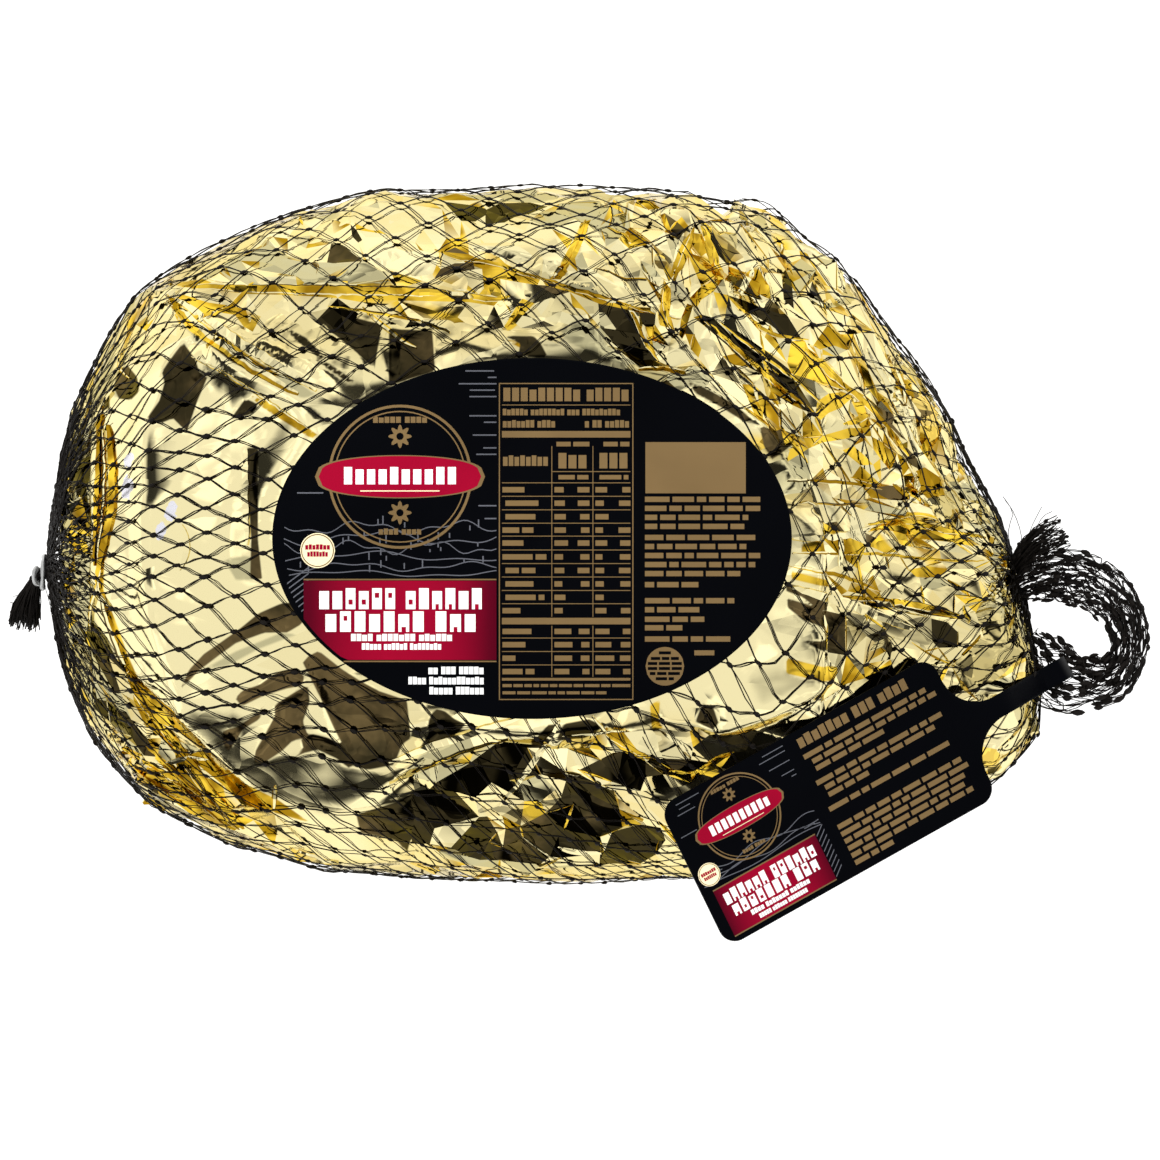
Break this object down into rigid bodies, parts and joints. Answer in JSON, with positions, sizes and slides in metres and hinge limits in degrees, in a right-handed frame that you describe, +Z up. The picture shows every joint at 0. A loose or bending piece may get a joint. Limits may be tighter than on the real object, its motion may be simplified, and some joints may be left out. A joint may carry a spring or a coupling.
{
  "type": "foil-wrapped ham in net",
  "caption": "Whole cooked ham wrapped in crumpled gold foil inside a black carrying net, with an oval label, a net loop to carry it by and a hang tag.",
  "frame": {"origin": "middle of the flat spot the pack rests on, on the surface under it", "axes": "+X from the wide cut end to the shank end with its carrying loop, +Y to the pack's upper edge, +Z up out of the label"},
  "size_m": [0.342, 0.2252, 0.1552],
  "materials": {
    "gold_foil": "bright pale gold metallised film, crumpled",
    "black_label": "satin black coated label with plain print",
    "black_card": "satin black coated card with plain print",
    "black_net": "fine black knotted filament",
    "clip_metal": "dull crimped wire"
  },
  "bodies": {
    "root": {"netted_ham": "gold_foil", "front_label": "black_label", "hang_tag": "black_card", "carry_loop": "black_net", "loop_tail": "black_net", "net_tail": "black_net", "tail_clip": "clip_metal"}
  },
  "joints": []
}
